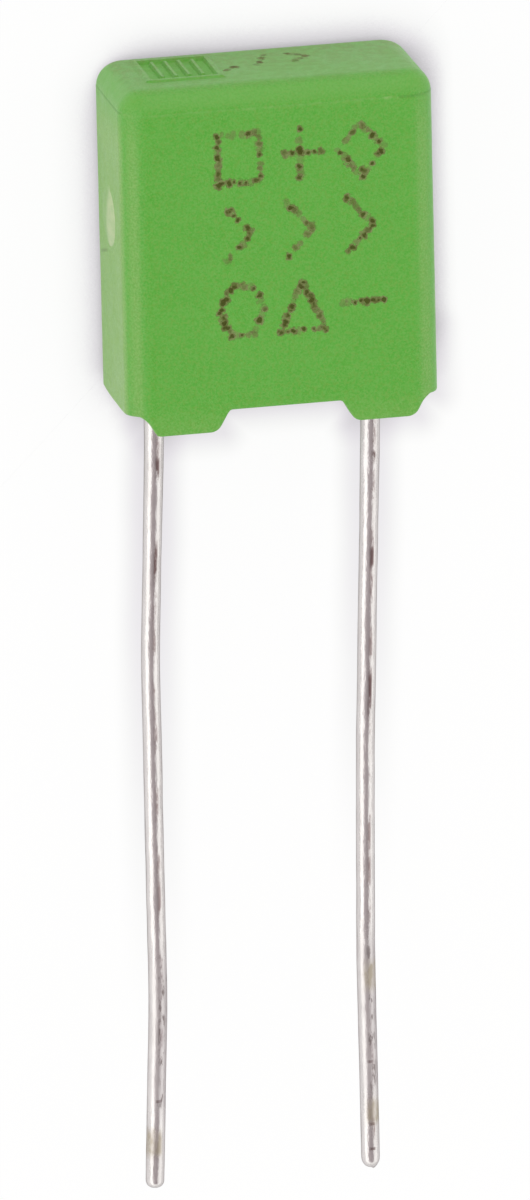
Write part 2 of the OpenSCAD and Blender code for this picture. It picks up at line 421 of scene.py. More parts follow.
def make_tinned_wire():
    """Satin tin with flow marks, smears and painted shade on its crest, and haze, flecks, nicks and beige
    patches low down.
    """
    material, shader, place = new_material("tinned_wire")
    parts = split(millimetres(place))
    along = next_node("ShaderNodeMapping", {"Vector": place, "Scale": (1.0, 0.3, 1.0)}).outputs[0]
    mottle, grain = mottle_at(along, 3400.0, 14000.0)
    smears = noise_at(along, 2100.0, 8.0, 0.75)
    flecks = noise_at(along, 8000.0, 4.0, 0.65)
    facing = split(add_node(material.node_tree, "ShaderNodeNewGeometry").outputs["Normal"])
    aside = facing["X"]
    crest = times(band(aside, (-0.2, 0.12), (0.25, 0.5), 1.0), ramp(facing["Z"], 0.0, 0.5))
    # Smears and painted shade darken the crest, where the dark place overhead is reflected.
    smear_and_crest_shade = times(crest, ramp(smears, 0.48, 0.6, 0.0, 0.85))
    spots = times(spot_mask(parts, CREST_SHADE_SPOTS), ramp(smears, 0.4, 0.52), crest)
    nicks = times(spot_mask(parts, NICKS), band(aside, (-0.4, -0.1), (0.2, 0.5), 0.8))
    dark = highest(spots, nicks)
    near_end = band(parts["Y"], (-21.0, -20.0), (-17.4, -16.0), 1.0)
    haze = times(near_end, ramp(aside, -0.2, 0.2, 0.0, 0.4))
    fleck = times(near_end, ramp(flecks, 0.5, 0.62, 0.0, 0.75),
                  ramp(aside, -0.25, 0.0, 0.1, 1.0), ramp(aside, 0.4, 0.7, 1.0, 0.3))
    outer = times(aside, ramp(parts["X"], -0.1, 0.1, -1.0, 1.0))
    patch = times(spot_mask(parts, BEIGE_SPOTS), ramp(outer, -0.7, -0.2), ramp(flecks, 0.4, 0.6, 0.5, 1.0))
    colour = coats(rgb(220, 216, 216), [
        (mottle, (230, 227, 227)),
        (smear_and_crest_shade, (152, 134, 134)),
        # This dark coat holds both painted shade spots on the crest and real nicks.
        (dark, (124, 104, 104)),
        (haze, (178, 170, 174)),
        (fleck, (112, 98, 98)),
        (patch, (186, 177, 162)),
    ])
    dull = highest(patch, dark, smear_and_crest_shade, fleck)
    rough = math_node("ADD", ramp(dull, 0.0, 1.0, 0.2, 0.4), ramp(near_end, 0.0, 1.0, 0.0, 0.12))
    relief = bump(grain, 0.6, 5e-6, Normal=bump(mottle, 0.9, 9e-6))
    set_inputs(shader, {"Base Color": colour, "Metallic": 1.0, "Specular Tint": EDGE_TINT,
                        "Roughness": rough, "Normal": relief})
    return material


tinned_wire = make_tinned_wire()
print("finish:", tinned_wire.name)

# %% [markdown]
# ## Finishes inside the case and on it
# Resin closes the open side: it is poured in and sets a little cloudy, with a soft skin. Inside are the
# roll of metallised film, silvery with fine turns, and the grey grainy zinc that is sprayed on its ends.
# The marks on the front are ink from a dot printer: a drop has a dark core and a soft tan fringe.

# %% Resin, film and zinc
PLAIN_FINISHES = {
    "potting_resin": ((84, 140, 60), (100, 156, 74), (900.0, 4000.0), (0.25, 0.45), 1.5e-5, 0.0),
    "metallised_film": ((150, 152, 156), (196, 198, 202), (500.0, 9000.0), (0.2, 0.4), 4e-6, 1.0),
    "sprayed_zinc": ((120, 120, 118), (156, 156, 152), (3000.0, 16000.0), (0.5, 0.8), 2e-5, 0.8),
}


def plain_finish(name, dark, light, scales, roughness, relief, metallic):
    """A finish of two close colours in a mottle, with a grain that also sets its roughness and its bump."""
    material, shader, place = new_material(name)
    mottle, grain = mottle_at(place, *scales)
    set_inputs(shader, {
        "Base Color": blend(mottle, rgb(*dark), rgb(*light)),
        "Roughness": ramp(grain, 0.0, 1.0, *roughness),
        "Normal": bump(grain, 0.6, relief),
        "Metallic": metallic,
    })
    return material


plain_finishes = {name: plain_finish(name, *recipe) for name, recipe in PLAIN_FINISHES.items()}
print("finishes:", ", ".join(plain_finishes))

# %% Ink


def make_print_ink():
    """Drops with a dark olive core, which weak drops lack, and a soft tan fringe."""
    material, shader, place = new_material("print_ink")
    tone, body = stored(material.node_tree, "tone", "body")
    mottle, grain = mottle_at(place, 5000.0, 30000.0)
    wavy = ramp(noise_at(place, 8000.0, 1.0), 0.3, 0.7, -0.25, 0.25)
    ragged = math_node("ADD", body, wavy)
    fringe = blend(mottle, rgb(124, 136, 74), rgb(158, 168, 112))
    core = times(ramp(ragged, 0.2, 0.8), ramp(tone, 0.1, 0.6))
    set_inputs(shader, {
        "Base Color": blend(core, fringe, rgb(76, 80, 18)),
        "Alpha": times(ramp(ragged, 0.0, 0.45, 0.0, 0.78), ramp(tone, 0.0, 0.5, 0.35, 1.0)),
        "Specular IOR Level": 0.25,
        "Roughness": ramp(grain, 0.0, 1.0, 0.4, 0.7),
        "Normal": bump(grain, 0.5, 2e-6),
    })
    return material


print_ink = make_print_ink()
print("finish:", print_ink.name)

# %% [markdown]
# ## The case
# The box is a rounded rectangle swept down from its flat top: over a rolled edge, past the seam, down the
# walls, round the rim with its two feet on each broad side, and up inside to the ceiling. Booleans and
# bevels would give an uneven mesh, so the sweep is written out: a plan of points round the box, and a list
# of rows that each say how far out and how high that ring of points lies. The top is a grid, so that the
# raised panel can be part of it.

# %% Lines of the top grid
PANEL_X = (-2.84, -1.02)
PANEL_Z = (0.65, 2.54)
PANEL_BORDER = 0.14
PANEL_SINK = 0.04
PANEL_RIBS = 4
PANEL_RIB = 0.14
PANEL_SOFT = 0.04
GRID_X = 0.05
GRID_Z = 0.055
panel_inner = PANEL_X[0] + PANEL_BORDER, PANEL_X[1] - PANEL_BORDER
panel_inner_z = PANEL_Z[0] + PANEL_BORDER, PANEL_Z[1] - PANEL_BORDER
rib_z = PANEL_Z[0] + 2 * PANEL_BORDER, PANEL_Z[1] - 2 * PANEL_BORDER
rib_pitch = (panel_inner[1] - panel_inner[0]) / (PANEL_RIBS + 1)
panel_ribs = [panel_inner[0] + rib_pitch * (i + 1) for i in range(PANEL_RIBS)]


def inside_band(value, low, high):
    """1 between two limits and 0 outside, with a narrow slope at each."""
    return smooth(value, low, low + PANEL_SOFT) * (1 - smooth(value, high - PANEL_SOFT, high))


def panel_height(x, z):
    """Height of the frame and its ribs over the top face, or of its floor below it, and 1 on that floor."""
    outer = inside_band(x, *PANEL_X) * inside_band(z, *PANEL_Z)
    inner = inside_band(x, *panel_inner) * inside_band(z, *panel_inner_z)
    ribs = max(inside_band(x, rib - PANEL_RIB / 2, rib + PANEL_RIB / 2) for rib in panel_ribs)
    sunk = inner * (1 - ribs * inside_band(z, *rib_z))
    return PANEL_RELIEF * outer - (PANEL_RELIEF + PANEL_SINK) * sunk, sunk


def grid_lines(low, high, step, edges):
    """Even lines from low to high, with lines at both ends of the slope of each edge of the panel."""
    kept = [edge + side * PANEL_SOFT for edge in edges for side in (-1, 0, 1)]
    kept = [line for line in kept if low < line < high]
    count = round((high - low) / step)
    even = [low + (high - low) * i / count for i in range(count + 1)]
    near = 0.4 * step
    inner = [line for line in even[1:-1] if min(abs(line - k) for k in kept) > near]
    return sorted([low, high] + kept + inner)


x_edges = [*PANEL_X, *panel_inner] + [rib + side * PANEL_RIB / 2 for rib in panel_ribs for side in (-1, 1)]
x_lines = grid_lines(-FLAT_X, FLAT_X, GRID_X, x_edges)
z_lines = grid_lines(EDGE_R, FLAT_HIGH, GRID_Z, [PANEL_Z[1], *panel_inner_z, *rib_z])
print(len(x_lines), "lines along X and", len(z_lines), "along Z")

# %% [markdown]
# The feet are part of the rim of the two broad walls. Each is a low trapezoid with rounded corners and a
# fillet at its root, so its outline is given as a rule: how far the rim reaches down at any x. Under the
# narrow walls the rim bows down very slightly.

# %% Outline of the feet
FOOT_MIDDLE = 2.275
FOOT_TIP = 0.69
FOOT_ROOT = 0.975
FOOT_ROUND = 0.28
SHARP_ROUND = 0.12
INNER_FILLET = 0.12
OUTER_FILLET = 0.5
END_BOW = 0.1
BOW_BACK = -0.3
BOW_FRONT = 0.1
BOW_SIDES = (3.0, 3.4)
flank = atan2(FOOT_HEIGHT, FOOT_ROOT - FOOT_TIP)


def foot_drop(x):
    """How far the rim of a broad wall reaches below the rest of the rim at x."""
    outer = abs(x) > FOOT_MIDDLE
    corner = SHARP_ROUND if outer and x < 0 else FOOT_ROUND
    fillet = OUTER_FILLET if outer else INNER_FILLET
    off = abs(abs(x) - FOOT_MIDDLE)
    tip_start = FOOT_TIP - corner * tan(flank / 2)
    root_end = FOOT_ROOT + fillet * tan(flank / 2)
    if off <= tip_start:
        return FOOT_HEIGHT
    if off <= tip_start + corner * sin(flank):
        return FOOT_HEIGHT - corner + sqrt(corner**2 - (off - tip_start) ** 2)
    if off <= root_end - fillet * sin(flank):
        return (FOOT_ROOT - off) * tan(flank)
    if off <= root_end:
        return fillet - sqrt(fillet**2 - (root_end - off) ** 2)
    return 0.0


def end_drop(x, z):
    """The slight bow of the rim under the two narrow walls."""
    reach = FRONT / 2 + (BOW_FRONT if z > FRONT / 2 else BOW_BACK)
    across = abs(z - FRONT / 2) / reach
    return END_BOW * smooth(abs(x), *BOW_SIDES) * max(0.0, 1 - across**3)


print(f"feet {2 * FOOT_TIP:.2f} mm wide at the tip, flanks at {degrees(flank):.0f} degrees")

# %% [markdown]
# Each row of the sweep is (reach, level, share): how far out from the flat top's edge, how high, and how
# much of the foot's drop it takes. The seam is a fine groove with a raised lip, as a mould leaves it.

# %% Rows of the sweep
CROWN_STEPS = 14
TOP_MARGIN = (0.0, 0.03, 0.06)
SEAM_Y = SHOULDER + 0.08
SEAM_CLEAR = 0.01
SEAM_OUT = (-0.003, -0.006, -0.005, 0.001, 0.003, 0.0)
SEAM_DOWN = (0.008, 0.018, 0.032, 0.044, 0.058, 0.09)
WALL_START = 0.1
WALL_END = 0.5
WALL_STEP = 0.18
GATE_STEP = 0.028
GATE_ROWS_END = -0.55
RIM_R = 0.05
RIM_BLEND = 0.45
RIM_SHARES = (0.0, 0.2, 0.4, 0.6, 0.8, 0.92, 1.0)
GATE_Y = 0.73
GATE_Z = 1.73
GATE_R = 0.69
GATE_RISE = 0.05
inner_reach = EDGE_R - WALL
crown_start = EDGE_R - TOP_R


def roll_reach(level):
    """How far out the outer face lies at a level of the rolled edge, or just below it."""
    return crown_start + sqrt(TOP_R**2 - max(level - SHOULDER, 0.0) ** 2)


def crown_rows():
    """The flat margin of the top, and the rolled edge with the seam's groove and lip in its lower part."""
    flat = [(reach, TOP, 0.0) for reach in (*TOP_MARGIN, crown_start)]
    turns = [radians(90 * (i + 1) / CROWN_STEPS) for i in range(CROWN_STEPS)]
    levels = [SHOULDER + TOP_R * cos(turn) for turn in turns]
    seam = [(SEAM_Y - down, out) for out, down in zip(SEAM_OUT, SEAM_DOWN)]
    above, below = SEAM_Y + SEAM_CLEAR, seam[-1][0] - SEAM_CLEAR
    plain = [(level, 0.0) for level in levels if level > above or level < below]
    ordered = sorted(plain + seam, reverse=True)
    return flat + [(roll_reach(level) + out, level, 0.0) for level, out in ordered]


def wall_rows():
    """Rows down the wall, close together where the gate mark lies."""
    level = SHOULDER - WALL_START
    rows = []
    while level > BASE + WALL_END:
        rows.append((EDGE_R, level, 0.0))
        level -= GATE_STEP if GATE_ROWS_END < level < GATE_Y + GATE_R + WALL_START else WALL_STEP
    return rows


def rim_rows():
    """The foot of the wall, its rounded rim and the inner wall up to the ceiling."""
    rows = [(EDGE_R, BASE + RIM_BLEND - (RIM_BLEND - RIM_R) * share, share) for share in RIM_SHARES]
    bend = RIM_R * (1 - sqrt(0.5))
    rows += [(EDGE_R - bend, BASE + bend, 1.0), (EDGE_R - RIM_R, BASE, 1.0)]
    rows += [(inner_reach + RIM_R, BASE, 1.0), (inner_reach + bend, BASE + bend, 1.0)]
    inner = [(BASE + RIM_R, 1.0), (BASE + 0.3, 0.4), (BASE + 0.6, 0.0), (0.0, 0.0), (CEILING, 0.0)]
    return rows + [(inner_reach, level, share) for level, share in inner]


rows = crown_rows() + wall_rows() + rim_rows()
print(len(rows), "rows from the top, over the rim and up to the ceiling")

# %% [markdown]
# The plan walks round the box: along each side of the flat top, and then fanning out round a corner. At a
# corner all the points share one vertex of the grid, so the sweep closes into triangles there.

# %% Plan of the sweep
CORNER_STEPS = 32
last_x, last_z = len(x_lines) - 1, len(z_lines) - 1


def make_plan():
    """(grid cell, direction in degrees) of each point round the box."""
    sides = [
        ([(i, last_z) for i in range(last_x + 1)], 90),
        ([(last_x, k) for k in range(last_z, -1, -1)], 0),
        ([(i, 0) for i in range(last_x, -1, -1)], -90),
        ([(0, k) for k in range(last_z + 1)], -180),
    ]
    points = []
    for cells_on_side, angle in sides:
        points += [(cell, angle) for cell in cells_on_side]
        points += [(cells_on_side[-1], angle - 90 * step / CORNER_STEPS) for step in range(1, CORNER_STEPS)]
    return points


plan = make_plan()
print(len(plan), "points in each ring")

# %% [markdown]
# The gate is where the plastic entered the mould. What broke off left a low round dome on the left wall,
# with its front half whitened, and a short scuff below it. A little unevenness of a few thousandths of a
# millimetre keeps the broad faces from mirroring like glass.

# %% Gate mark and unevenness
SCUFF_Z = (0.7, 1.49)
SCUFF_Y = (-0.33, -0.11)
SCUFF_HALF = 0.07


def gate_height(y, z):
    """How far the dome stands out of the left wall."""
    share = hypot(y - GATE_Y, z - GATE_Z) / GATE_R
    return GATE_RISE * max(0.0, 1 - share * share)


def gate_tint(y, z):
    """1 where the plastic is whitened, fading towards the back, and below 0 on the dark scuff."""
    inward = GATE_R - hypot(y - GATE_Y, z - GATE_Z)
    fade = 0.12 * smooth(y - GATE_Y, -0.2, 0.6)
    white = smooth(inward, 0.0, 0.05) * smooth(z - GATE_Z, -0.4 + fade, 0.2 + fade)
    share = (z - SCUFF_Z[0]) / (SCUFF_Z[1] - SCUFF_Z[0])
    middle = SCUFF_Y[0] + (SCUFF_Y[1] - SCUFF_Y[0]) * share
    scuff = 1 - smooth(abs(y - middle), 0.0, SCUFF_HALF)
    return white - scuff * smooth(share, -0.1, 0.2) * (1 - smooth(share, 0.75, 1.1))


def uneven(point):
    """A few micrometres of unevenness."""
    return 0.003 * noise.noise(point * 0.9) + 0.001 * noise.noise(point * 3.1)


print(f"gate mark {GATE_RISE * 1000:.0f} micrometres high")

# %% Build the case
SHARP_ANGLE = radians(50)
SEAM_MIDDLE = SEAM_Y - 0.05
SEAM_FADE = (0.015, 0.05)
SHADED_SEAM_X = 2.7
LEFT_FACING = 0.95


def sweep_point(cell, angle, row):
    """Where one point of the sweep lies, with the marks that it carries."""
    reach, level, share = row
    out = Vector((cos(radians(angle)), 0, sin(radians(angle))))
    point = Vector((x_lines[cell[0]], level, z_lines[cell[1]])) + out * reach
    point.y -= share * max(foot_drop(point.x), end_drop(point.x, point.z))
    if level == TOP:
        point.y += panel_height(point.x, point.z)[0]
    tint, seam = 0.0, 0.0
    if reach > inner_reach + RIM_R and BASE < level:
        seam = 1 - smooth(abs(level - SEAM_MIDDLE), *SEAM_FADE)
        if level < TOP:
            left = smooth(-out.x, 0.9, 1.0)
            point += out * (uneven(point) + left * gate_height(point.y, point.z))
            tint = left * gate_tint(point.y, point.z)
    # On the left wall and at the right end the seam's value turns negative, so the material paints it as
    # shade there.
    if -out.x > LEFT_FACING or point.x > SHADED_SEAM_X:
        seam = -seam
    return point, tint, seam


def new_piece(name, data):
    """A piece with smooth faces and crisp edges, from its mesh."""
    data.shade_smooth()
    data.set_sharp_from_angle(angle=SHARP_ANGLE)
    return add_object(name, data)


def build_case():
    """The whole moulded box as one closed mesh."""
    mesh = bmesh.new()
    layers = mesh.verts.layers.float
    gate_layer, seam_layer, sunk_layer = (layers.new(name) for name in ("gate", "seam", "sunk"))
    grid = {}
    for i, x in enumerate(x_lines):
        for k, z in enumerate(z_lines):
            height, sunk = panel_height(x, z)
            grid[i, k] = mesh.verts.new(Vector((x, TOP + height, z)) * MM)
            grid[i, k][sunk_layer] = sunk
    for i in range(last_x):
        for k in range(last_z):
            mesh.faces.new((grid[i, k], grid[i + 1, k], grid[i + 1, k + 1], grid[i, k + 1]))
    ring = [grid[cell] for cell, angle in plan]
    for row in rows[1:]:
        following = []
        for cell, angle in plan:
            point, tint, seam = sweep_point(cell, angle, row)
            vertex = mesh.verts.new(point * MM)
            vertex[gate_layer] = tint
            vertex[seam_layer] = seam
            following.append(vertex)
        for i in range(len(plan)):
            corners = (ring[i - 1], ring[i], following[i], following[i - 1])
            mesh.faces.new(list(dict.fromkeys(corners)))
        ring = following
    mesh.faces.new(ring)
    bmesh.ops.recalc_face_normals(mesh, faces=mesh.faces)
    data = bpy.data.meshes.new("case_shell")
    mesh.to_mesh(data)
    mesh.free()
    data.materials.append(green_plastic)
    return new_piece("case_shell", data)


case_shell = build_case()
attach(case_shell, "root")
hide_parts("case")
print(case_shell.name, "has", len(case_shell.data.polygons), "faces")

# %% [markdown]
# ## The leads
# A lead is a round wire on a gently bent line, so it suits Geometry Nodes: a curve that carries its own
# radius, with a circle swept along it. The line starts at the neck in the resin, bends a little twice, as a
# wire does that has been straightened by hand, and ends in a cut with worn corners. A flat blade is joined
# at its root, where the solid is welded to the roll.

# %% Line of a lead
LEAD_R = 0.225
LEAD_STEP = 0.1
NECK_LENGTH = 0.6
NECK_R = 0.36
RESIN_Y = BASE + 0.03
LEAD_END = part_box("lead_left")[0].y / MM
BEND_SOFT = 0.9
TIP_POINTS = 13
TIP_LAST = 0.98
TIP_STRAIGHT = 0.4


def lead_lean(depth, bends):
    """Sideways slope of a wire at a depth below the feet, going over softly from one bend to the next."""
    slope, before = 0.0, 0.0
    for bend, lean in bends:
        after = tan(radians(lean))
        slope += (after - before) * smooth(depth, bend - BEND_SOFT, bend + BEND_SOFT)
        before = after
    return slope


def round_tip(share):
    """Left and right edge of a cut end with worn corners, as shares of the radius."""
    worn = 1 - 0.75 * (1 - sqrt(1 - share * share))
    return -worn, worn


def worn_tip(share):
    """Left and right edge of a rounded end that is worn more on its left side."""
    rounded = max(share - TIP_STRAIGHT, 0.0) / (1 - TIP_STRAIGHT)
    return -1 + share**3, 0.1 + 0.9 * sqrt(1 - rounded * rounded)


def lead_line(root_x, bends, tip, tip_length):
    """Points and radii from the neck to the cut end."""
    middle = FRONT / 2
    points = [(root_x, RESIN_Y + NECK_LENGTH, middle, NECK_R), (root_x, RESIN_Y, middle, LEAD_R)]
    x, depth, radius = root_x, 0.0, LEAD_R
    total = BASE - LEAD_END
    while depth < total - tip_length - LEAD_STEP:
        x += lead_lean(depth - FOOT_HEIGHT + LEAD_STEP / 2, bends) * LEAD_STEP
        depth += LEAD_STEP
        thin = 1 - 0.05 * smooth(depth, 1.0, 4.0) + 0.02 * noise.noise(Vector((root_x, depth * 1.4, 0.0)))
        radius = LEAD_R * thin
        points.append((x, BASE - depth, middle, radius))
    for i in range(TIP_POINTS):
        share = sin(radians(90 * i / (TIP_POINTS - 1)))
        left, right = tip(TIP_LAST * share)
        level = LEAD_END + tip_length * (1 - share)
        points.append((x + radius * (left + right) / 2, level, middle, radius * (right - left) / 2))
    return points


left_line = lead_line(-2.7, [(0.5, -2.4), (5.7, -0.1), (13.8, -2.4)], round_tip, 0.17)
right_line = lead_line(2.3, [(0.5, -2.1), (8.2, -1.2), (12.9, 0.1)], worn_tip, 0.34)
print(f"leads end at Y {LEAD_END:.1f} and at X {left_line[-1][0]:.2f} and {right_line[-1][0]:.2f}")

# %% Tree that sweeps a wire


def geo(kind, inputs, **settings):
    """The first output of a new node that works on geometry."""
    return next_node("GeometryNode" + kind, inputs, **settings).outputs[0]


def send_out(shape, given, result):
    """Makes a shape's instances real, gives it its finish and sends it out of the tree."""
    real = geo("RealizeInstances", {0: shape})
    painted = geo("SetMaterial", {"Geometry": real, "Material": given["Finish"]})
    set_inputs(result, {0: painted})


def make_wire_tree():
    """Sweeps a circle along the line, with its stored radius and a slight wobble, and joins the blade."""
    tree, given, result = new_group(
        "wire sweep",
        "GeometryNodeTree",
        {"Line": "Geometry", "Sides": "Int", "Wobble": "Float", "Seed": "Float", "Blade size": "Vector",
         "Blade place": "Vector", "Finish": "Material"},
        {"Mesh": "Geometry"},
    )
    curve = geo("MeshToCurve", {0: given["Line"]})
    drift = next_node("ShaderNodeTexNoise", {"W": given["Seed"], "Scale": 260.0}, noise_dimensions="4D")
    centred = vector_node("SUBTRACT", drift.outputs["Color"], (0.5, 0.5, 0.5))
    offset = vector_node("SCALE", centred, given["Wobble"])
    moved = geo("SetPosition", {"Geometry": curve, "Offset": offset})
    circle = geo("CurvePrimitiveCircle", {"Resolution": given["Sides"], "Radius": 1.0})
    radius = add_node(tree, "GeometryNodeInputNamedAttribute", {"Name": "wire_radius"}, data_type="FLOAT")
    sweep = {"Curve": moved, "Profile Curve": circle, "Scale": radius.outputs[0], "Fill Caps": True}
    tube = geo("CurveToMesh", sweep)
    block = geo("MeshCube", {"Size": given["Blade size"]})
    blade = geo("Transform", {"Geometry": block, "Translation": given["Blade place"]})
    both = add_node(tree, "GeometryNodeJoinGeometry")
    for shape in (blade, tube):
        tree.links.new(shape, both.inputs[0])
    send_out(both.outputs[0], given, result)
    return tree


wire_tree = make_wire_tree()
print("tree:", wire_tree.name, "with", len(wire_tree.nodes), "nodes")

# %% [markdown]
# A tree works on a host object. The host here is a bare line of vertices and edges, with the radius stored
# on each vertex. The inputs are set by the sockets' identifiers before the host is first evaluated, and the
# result is then copied to a plain mesh, so that no modifier is left on the finished piece.

# %% Bake a tree to a plain mesh


def line_host(name, lines, radii=None):
    """A mesh of open or closed lines. A line is (points in millimetres, closed or not)."""
    points, edges = [], []
    for line, closed in lines:
        start = len(points)
        points += [Vector(point) * MM for point in line]
        edges += [(i, i + 1) for i in range(start, len(points) - 1)]
        if closed:
            edges.append((len(points) - 1, start))
    data = bpy.data.meshes.new(name)
    data.from_pydata(points, edges, [])
    if radii:
        layer = data.attributes.new("wire_radius", "FLOAT", "POINT")
        layer.data.foreach_set("value", [radius * MM for radius in radii])
    return add_object(name, data)


def bake_tree(host, tree, values, name):
    """Runs a tree on its host and returns the result as a piece with a plain mesh."""
    modifier = host.modifiers.new("shape", "NODES")
    modifier.node_group = tree
    for item in tree.interface.items_tree:
        if item.in_out == "INPUT" and item.name in values:
            modifier[item.identifier] = values[item.name]
    graph = bpy.context.evaluated_depsgraph_get()
    data = bpy.data.meshes.new_from_object(host.evaluated_get(graph))
    bpy.data.objects.remove(host)
    data.name = name
    return new_piece(name, data)


# %% Both leads
BLADE_THICKNESS = 0.25
BLADE_WIDTH = 0.6
BLADE_OVERLAP = 0.01
WIRE_SIDES = 40
WIRE_WOBBLE = 0.03


def make_lead(node, line, seed):
    """One lead from its line, standing for its solid."""
    blade_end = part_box(node)[1].y / MM
    blade_start = RESIN_Y + NECK_LENGTH - BLADE_OVERLAP
    values = {
        "Sides": WIRE_SIDES,
        "Wobble": WIRE_WOBBLE * MM,
        "Seed": seed,
        "Blade size": [size * MM for size in (BLADE_THICKNESS, blade_end - blade_start, BLADE_WIDTH)],
        "Blade place": [place * MM for place in (line[0][0], (blade_end + blade_start) / 2, FRONT / 2)],
        "Finish": tinned_wire,
    }
    host = line_host("line", [([point[:3] for point in line], False)], [point[3] for point in line])
    piece = bake_tree(host, wire_tree, values, node + "_wire")
    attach(piece, "root")
    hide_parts(node)
    return piece


for node, line, seed in (("lead_left", left_line, 3.0), ("lead_right", right_line, 8.0)):
    piece = make_lead(node, line, seed)
    print(piece.name, "has", len(piece.data.polygons), "faces")

# %% [markdown]
# ## Resin, roll and sprayed ends
# These solids already have the right form, and little of them shows, so they only get their finishes.

# %% Finishes of the solids that stay
for node, finish in (("resin_fill", "potting_resin"), ("film_winding", "metallised_film"),
                     ("end_spray_left", "sprayed_zinc"), ("end_spray_right", "sprayed_zinc")):
    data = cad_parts[node].data
    data.materials.clear()
    data.materials.append(plain_finishes[finish])
    print(node, "gets", finish)

# %% [markdown]
# ## Printed marks
# Such a part is marked by a dot printer, which leaves rows of small drops of dark ink. The marks here are
# plain shapes. Each is a line on the face, and Geometry Nodes put a flat drop at even steps along it, leave
# some out and vary their size, as a worn print head does. A drop has few faces, because there are hundreds.

# %% Shapes of the marks
MARK = 1.25
MARK_WIDTH = 0.85
MARK_PITCH = 1.4
MARKS_START = -1.5
MARK_SHAPES = {
    "diamond": [([(0.5, 0), (1, 0.5), (0.5, 1), (0, 0.5)], True)],
    "square": [([(0.05, 0.05), (0.95, 0.05), (0.95, 0.95), (0.05, 0.95)], True)],
    "hexagon": [([(0.27, 0.04), (0.73, 0.04), (1, 0.5), (0.73, 0.96), (0.27, 0.96), (0, 0.5)], True)],
    "peak": [([(0.02, 0.05), (0.98, 0.05), (0.5, 0.95)], True)],
    "chevron": [([(0.2, 0), (0.75, 0.5), (0.2, 1)], False)],
    "plus": [([(0.5, 0.05), (0.5, 0.95)], False), ([(0.05, 0.5), (0.95, 0.5)], False)],
    "dash": [([(0.05, 0.5), (0.95, 0.5)], False)],
}
FRONT_MARKS = [
    (2.35, ("square", "plus", "diamond")),
    (0.6, ("chevron",) * 3),
    (-1.2, ("hexagon", "peak", "dash")),
]
TOP_MARKS = [
    [(-0.9, 2.0), (-0.68, 1.8)],
    [(-0.1, 1.75), (0.2, 1.0)],
    [(0.7, 1.0), (1.1, 1.3), (0.75, 1.65)],
]
front_lines = []
for middle_y, kinds in FRONT_MARKS:
    for i, kind in enumerate(kinds):
        left, low = MARKS_START + i * MARK_PITCH, middle_y - MARK / 2
        for line, closed in MARK_SHAPES[kind]:
            spots = [(left + x * MARK * MARK_WIDTH, low + y * MARK, FRONT) for x, y in line]
            front_lines.append((spots, closed))
top_lines = [([(x, TOP, z) for x, z in line], False) for line in TOP_MARKS]
print(len(front_lines), "lines on the front face and", len(top_lines), "on the top")

# %% Tree that prints drops along lines
DROP_SIZES = {2: 0.75, 3: 1.2}
TONE_SEED = 41


def store(shape, name, value, domain):
    """A shape that stores a value under a name."""
    values = {"Geometry": shape, "Name": name, "Value": value}
    return geo("StoreNamedAttribute", values, data_type="FLOAT", domain=domain)


def draw(limits, seed, kind, output):
    """A random value of one kind, which is one of the node's outputs."""
    values = {**limits, "Seed": seed}
    return next_node("FunctionNodeRandomValue", values, data_type=kind).outputs[output]


def make_drop_tree():
    """Flat drops of ink at even steps along lines."""
    tree, given, result = new_group(
        "ink drops",
        "GeometryNodeTree",
        {"Lines": "Geometry", "Step": "Float", "Drop size": "Float", "Thickness": "Float", "Missing": "Float",
         "Scatter": "Float", "Facing": "Vector", "Seed": "Int", "Most tone": "Float", "Finish": "Material"},
        {"Mesh": "Geometry"},
    )
    seed, facing = given["Seed"], given["Facing"]
    curve = geo("MeshToCurve", {0: given["Lines"]})
    even = geo("ResampleCurve", {"Curve": curve, "Length": given["Step"]}, mode="LENGTH")
    points = geo("CurveToPoints", {"Curve": even}, mode="EVALUATED")
    missing = draw({"Probability": given["Missing"]}, seed, "BOOLEAN", 3)
    kept = geo("DeleteGeometry", {"Geometry": points, "Selection": missing}, domain="POINT")
    jitter = draw({0: (-1.0,) * 3, 1: (1.0,) * 3}, seed, "FLOAT_VECTOR", 0)
    level = vector_node("SUBTRACT", jitter, vector_node("PROJECT", jitter, facing))
    shift = vector_node("SCALE", level, given["Scatter"])
    placed = geo("SetPosition", {"Geometry": kept, "Offset": shift})
    ball = geo("MeshUVSphere", {"Segments": 8, "Rings": 4, "Radius": given["Drop size"]})
    place = add_node(tree, "GeometryNodeInputPosition").outputs[0]
    flat_place = vector_node("MULTIPLY", place, (1.0, 1.0, 0.0))
    reach = math_node("DIVIDE", vector_node("LENGTH", flat_place), given["Drop size"])
    ball = store(ball, "body", math_node("SUBTRACT", 1.0, reach), "POINT")
    flat = next_node("ShaderNodeCombineXYZ", {"X": 1.0, "Y": 1.0, "Z": given["Thickness"]}).outputs[0]
    drop = geo("Transform", {"Geometry": ball, "Scale": flat})
    turn = next_node("FunctionNodeAlignRotationToVector", {"Vector": facing}, axis="Z").outputs[0]
    size = draw(DROP_SIZES, seed, "FLOAT", 1)
    drops = geo("InstanceOnPoints", {"Points": placed, "Instance": drop, "Rotation": turn, "Scale": size})
    tone = draw({2: 0.0, 3: given["Most tone"]}, TONE_SEED, "FLOAT", 1)
    send_out(store(drops, "tone", tone, "INSTANCE"), given, result)
    return tree


drop_tree = make_drop_tree()
print("tree:", drop_tree.name, "with", len(drop_tree.nodes), "nodes")

# %% Print both faces


def print_marks(lines, facing, tone, seed, name):
    """Drops of ink along lines on one face."""
    values = {"Step": 0.125 * MM, "Drop size": 0.12 * MM, "Thickness": 0.04, "Missing": 0.1,
              "Scatter": 0.025 * MM, "Most tone": tone, "Facing": facing, "Seed": seed, "Finish": print_ink}
    piece = bake_tree(line_host("lines", lines), drop_tree, values, name)
    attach(piece, "root")
    print(piece.name, "has", len(piece.data.polygons), "faces")


print_marks(front_lines, (0.0, 0.0, 1.0), 0.9, 5, "front_print")
print_marks(top_lines, (0.0, 1.0, 0.0), 0.5, 9, "top_print")

